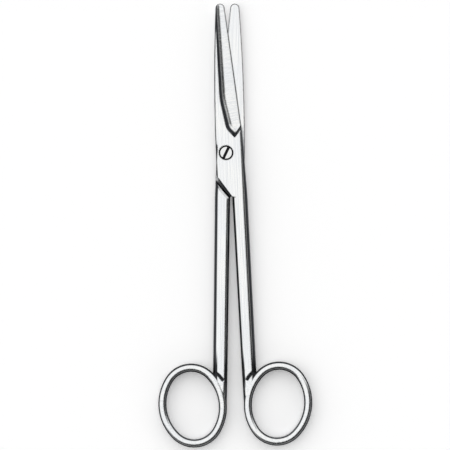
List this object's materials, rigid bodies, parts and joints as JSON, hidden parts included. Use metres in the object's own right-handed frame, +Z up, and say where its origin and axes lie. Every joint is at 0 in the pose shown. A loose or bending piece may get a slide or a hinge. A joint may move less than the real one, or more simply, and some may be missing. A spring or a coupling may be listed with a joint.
{
  "type": "dissecting scissors",
  "caption": "Straight blunt-tipped dissecting scissors in steel, lap-jointed halves with finger rings turning on a slotted pivot screw.",
  "frame": {"origin": "on the pivot axis, in the plane that the scissors lie on", "axes": "+Z up along the pivot axis, +Y along the centre line from the pivot to the tips, +X to the right seen from above with the tips away"},
  "size_m": [0.059, 0.1697, 0.005],
  "materials": {
    "satin_steel": "satin",
    "screw_steel": "turned and polished"
  },
  "bodies": {
    "rear_half_and_screw": {"rear_half": "satin_steel", "pivot_screw": "screw_steel"},
    "front_half": {"front_half": "satin_steel"}
  },
  "joints": [
    {"name": "blade_pivot", "type": "hinge", "parent": "rear_half_and_screw", "child": "front_half", "pos_m": [0, 0, 0.0025], "axis": [0, 0, 1], "range_deg": [-2.5, 110]}
  ]
}
